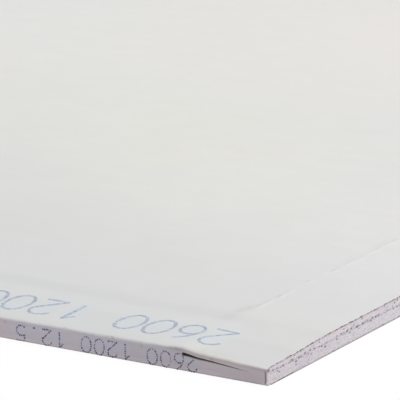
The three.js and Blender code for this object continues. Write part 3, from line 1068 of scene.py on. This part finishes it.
def make_fibres():
    """Short paper fibres that stand out of the cut edges, thickest near the pleated corner."""
    random = np.random.default_rng(5)
    points, faces = [], []
    for n in range(FIBRE_COUNT):
        end = 1 if n % 4 else -1
        across = random.uniform(0, 2 * HALF_WIDTH)
        if n % 4 > 1:
            across = random.uniform(0, FINE_REACH)
        y = -HALF_WIDTH + max(across, FACE_FOLD)
        on_top = random.random() < FIBRES_ON_TOP
        level = BACK_FIBRE_LEVEL
        if on_top:
            level = face_height(end * HALF_LENGTH, y) - random.uniform(0.05, 0.35)
        length = random.uniform(*FIBRE_LENGTHS)
        thin = random.uniform(*FIBRE_RADII)
        lean = random.uniform(-1.2, 1.2)
        rise = random.uniform(-0.9, 0.25) if on_top else random.uniform(0, 0.5)
        way = Vector((end * random.uniform(0.25, 0.8), lean, rise)).normalized()
        bend = Vector((0, random.uniform(-0.5, 0.5), random.uniform(-0.5, 0.1) if on_top else 0.2))
        base = Vector((end * (HALF_LENGTH - FIBRE_ROOT), y, level))
        side = way.cross(Vector((0, 0, 1))).normalized() * thin
        up = side.cross(way).normalized() * thin
        for share in (0, 1 / 3, 2 / 3, 1):
            spot = base + length * (share * way + share * share * 0.6 * bend)
            spot.z = max(spot.z, LOWEST_FIBRE)
            slim = 1 - 0.7 * share
            for corner in (side, -0.5 * side + 0.87 * up, -0.5 * side - 0.87 * up):
                points.append(spot + slim * corner)
        faces += tube_faces(len(points), 4, 3)
    make_piece("cut_edge_fibres", points, faces, [CUT_PAPER], "grey_paper")


# ---------- printed numbers

# Single strokes in a box 1 wide and 1 tall. A stroke is straight between its points, or
# an arc: (middle x, middle y, radius x, radius y, from degrees, to degrees)
STROKES = {
    "0": [(0.5, 0.5, 0.5, 0.5, 0, 360)],
    "1": [[(0.2, 0.75), (0.55, 1), (0.55, 0)]],
    "2": [(0.5, 0.72, 0.46, 0.28, 165, -35), [(0.88, 0.56), (0.05, 0), (0.98, 0)]],
    "5": [[(0.9, 1), (0.2, 1), (0.12, 0.56)], (0.48, 0.33, 0.48, 0.33, 140, -150)],
    "6": [(0.5, 0.3, 0.46, 0.3, 0, 360), [(0.08, 0.42), (0.3, 0.78), (0.68, 1)]],
    ".": [(0.5, 0.03, 0.06, 0.04, 0, 360)],
}
ARC_POINTS = 29
INK_PROUD = 0.05

# Rows of numbers: what they say, where each starts, the pitch, and a number's width and height
FACE_PRINT = ("2600 1200", (1265, 450, -366), 16, (12.8, 22.6))
FACE_PRINT_INSET = 12.4  # from the long edge to the tops of the numbers
FACE_DOT_RADIUS = 1
FACE_DOT_GAP = 1.3  # the dots run into each other
FACE_DOT_STEPS = 4

EDGE_PRINT = ("2600 1200 12.5", (1262, 662, 62, -538), 7.4, (5.6, 7.8))
EDGE_PRINT_LEVEL = 0.9  # of the tops of the numbers, which are upside down
EDGE_DOT_GAP = 1.12
EDGE_DOT_RADIUS = 0.44
EDGE_DOT_JITTER = 0.13
EDGE_DOT_SIDES = 8


def stroke_points(stroke):
    """The points that a stroke runs straight between."""
    if isinstance(stroke, list):
        return stroke
    mx, my, rx, ry, first, last = stroke
    turns = np.radians(np.linspace(first, last, ARC_POINTS))
    return [(mx + rx * math.cos(t), my + ry * math.sin(t)) for t in turns]


def strokes(row):
    """The strokes of rows of numbers: points along X, and down from the numbers' tops."""
    text, starts, pitch, (width, height) = row
    for start in starts:
        for n, letter in enumerate(text):
            for stroke in STROKES.get(letter, []):
                yield [
                    Vector((start - n * pitch - across * width, (1 - up) * height))
                    for across, up in stroke_points(stroke)
                ]


def evenly(line, gap):
    """Points about gap apart along a line of points, its ends included."""
    walked = [0]
    for a, b in zip(line, line[1:]):
        walked.append(walked[-1] + (b - a).length)
    stops = places(0, (walked[-1], gap))
    xs, ys = (np.interp(stops, walked, axis) for axis in zip(*line))
    return [Vector(spot) for spot in zip(xs, ys)]


def make_face_print():
    """Pale blue numbers along the tapered edge, their tops towards the long edge.

    Each stroke is a row of inked dots that run into each other, so its edges are scalloped.
    """
    random = np.random.default_rng(8)
    points, faces = [], []
    for stroke in strokes(FACE_PRINT):
        line = evenly(stroke, FACE_DOT_GAP / FACE_DOT_STEPS)
        dots = random.uniform(0.8, 1.12, len(line) // FACE_DOT_STEPS + 2)
        for k, spot in enumerate(line):
            way = (line[min(k + 1, len(line) - 1)] - line[max(k - 1, 0)]).normalized()
            dot = round(k / FACE_DOT_STEPS)
            from_dot = (k / FACE_DOT_STEPS - dot) * FACE_DOT_GAP
            half = math.sqrt((FACE_DOT_RADIUS * dots[dot]) ** 2 - from_dot**2)
            side = Vector((-way.y, way.x)) * half
            for corner, proud in ((side, 1), (-side, 1), (-side, -1), (side, -1)):
                x, down = spot + corner
                y = FACE_PRINT_INSET - HALF_WIDTH + down
                level = face_height(x, y) + ripple(x, y, THICKNESS)
                points.append((x, y, level + proud * INK_PROUD))
        faces += tube_faces(len(points), len(line), 4)
    ink = ink_material("pale_blue_ink", (0.36, 0.405, 0.46), (0.51, 0.60, 0.72), 1.8)
    make_piece("face_numbers", points, faces, [ink], "ivory_paper")


def edge_dots(stroke):
    """Where the dots of a stroke of the edge numbers go, the last gap left short."""
    walked = wanted = 0
    for a, b in zip(stroke, stroke[1:]):
        step = (b - a).length
        while wanted <= walked + step:
            yield a.lerp(b, (wanted - walked) / step)
            wanted += EDGE_DOT_GAP
        walked += step


def make_edge_print():
    """Dark blue dotted numbers on the long edge, upside down as the sheet lies.

    Dots that would lie over the pleat's open pocket are left out.
    """
    random = np.random.default_rng(3)
    points, faces = [], []
    turns = np.linspace(0, 2 * math.pi, EDGE_DOT_SIDES + 1)[:-1]
    for spot in (spot for stroke in strokes(EDGE_PRINT) for spot in edge_dots(stroke)):
        x = spot.x + random.uniform(-EDGE_DOT_JITTER, EDGE_DOT_JITTER)
        z = EDGE_PRINT_LEVEL + spot.y + random.uniform(-EDGE_DOT_JITTER, EDGE_DOT_JITTER)
        face = -HALF_WIDTH - (ripple(x, -HALF_WIDTH, z) if z > RIPPLE_FROM else 0)
        radius = EDGE_DOT_RADIUS * random.uniform(0.65, 1.2)
        opening = pleat_opening(x)
        if opening > 0 and z > pocket_levels(x, -1, opening)[0] - radius:
            continue
        for y in (face - INK_PROUD, face + INK_PROUD):
            points += [(x + radius * math.cos(t), y, z + radius * math.sin(t)) for t in turns]
        faces += tube_faces(len(points), 2, EDGE_DOT_SIDES)
    ink = ink_material("violet_ink", (0.095, 0.10, 0.185), (0.255, 0.26, 0.37), 2)
    make_piece("edge_numbers", points, faces, [ink], "ivory_paper")


# ---------- the sheet

CUT_PAPER = cut_paper_material()

make_face_paper()
make_core()
make_fibres()
make_face_print()
make_edge_print()

back_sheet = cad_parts["back_paper"]
back_sheet.data.materials.clear()
back_sheet.data.materials.append(back_material())

for box in (cad_box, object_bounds()):
    json.dumps([list(corner) for corner in box]) + "\n"
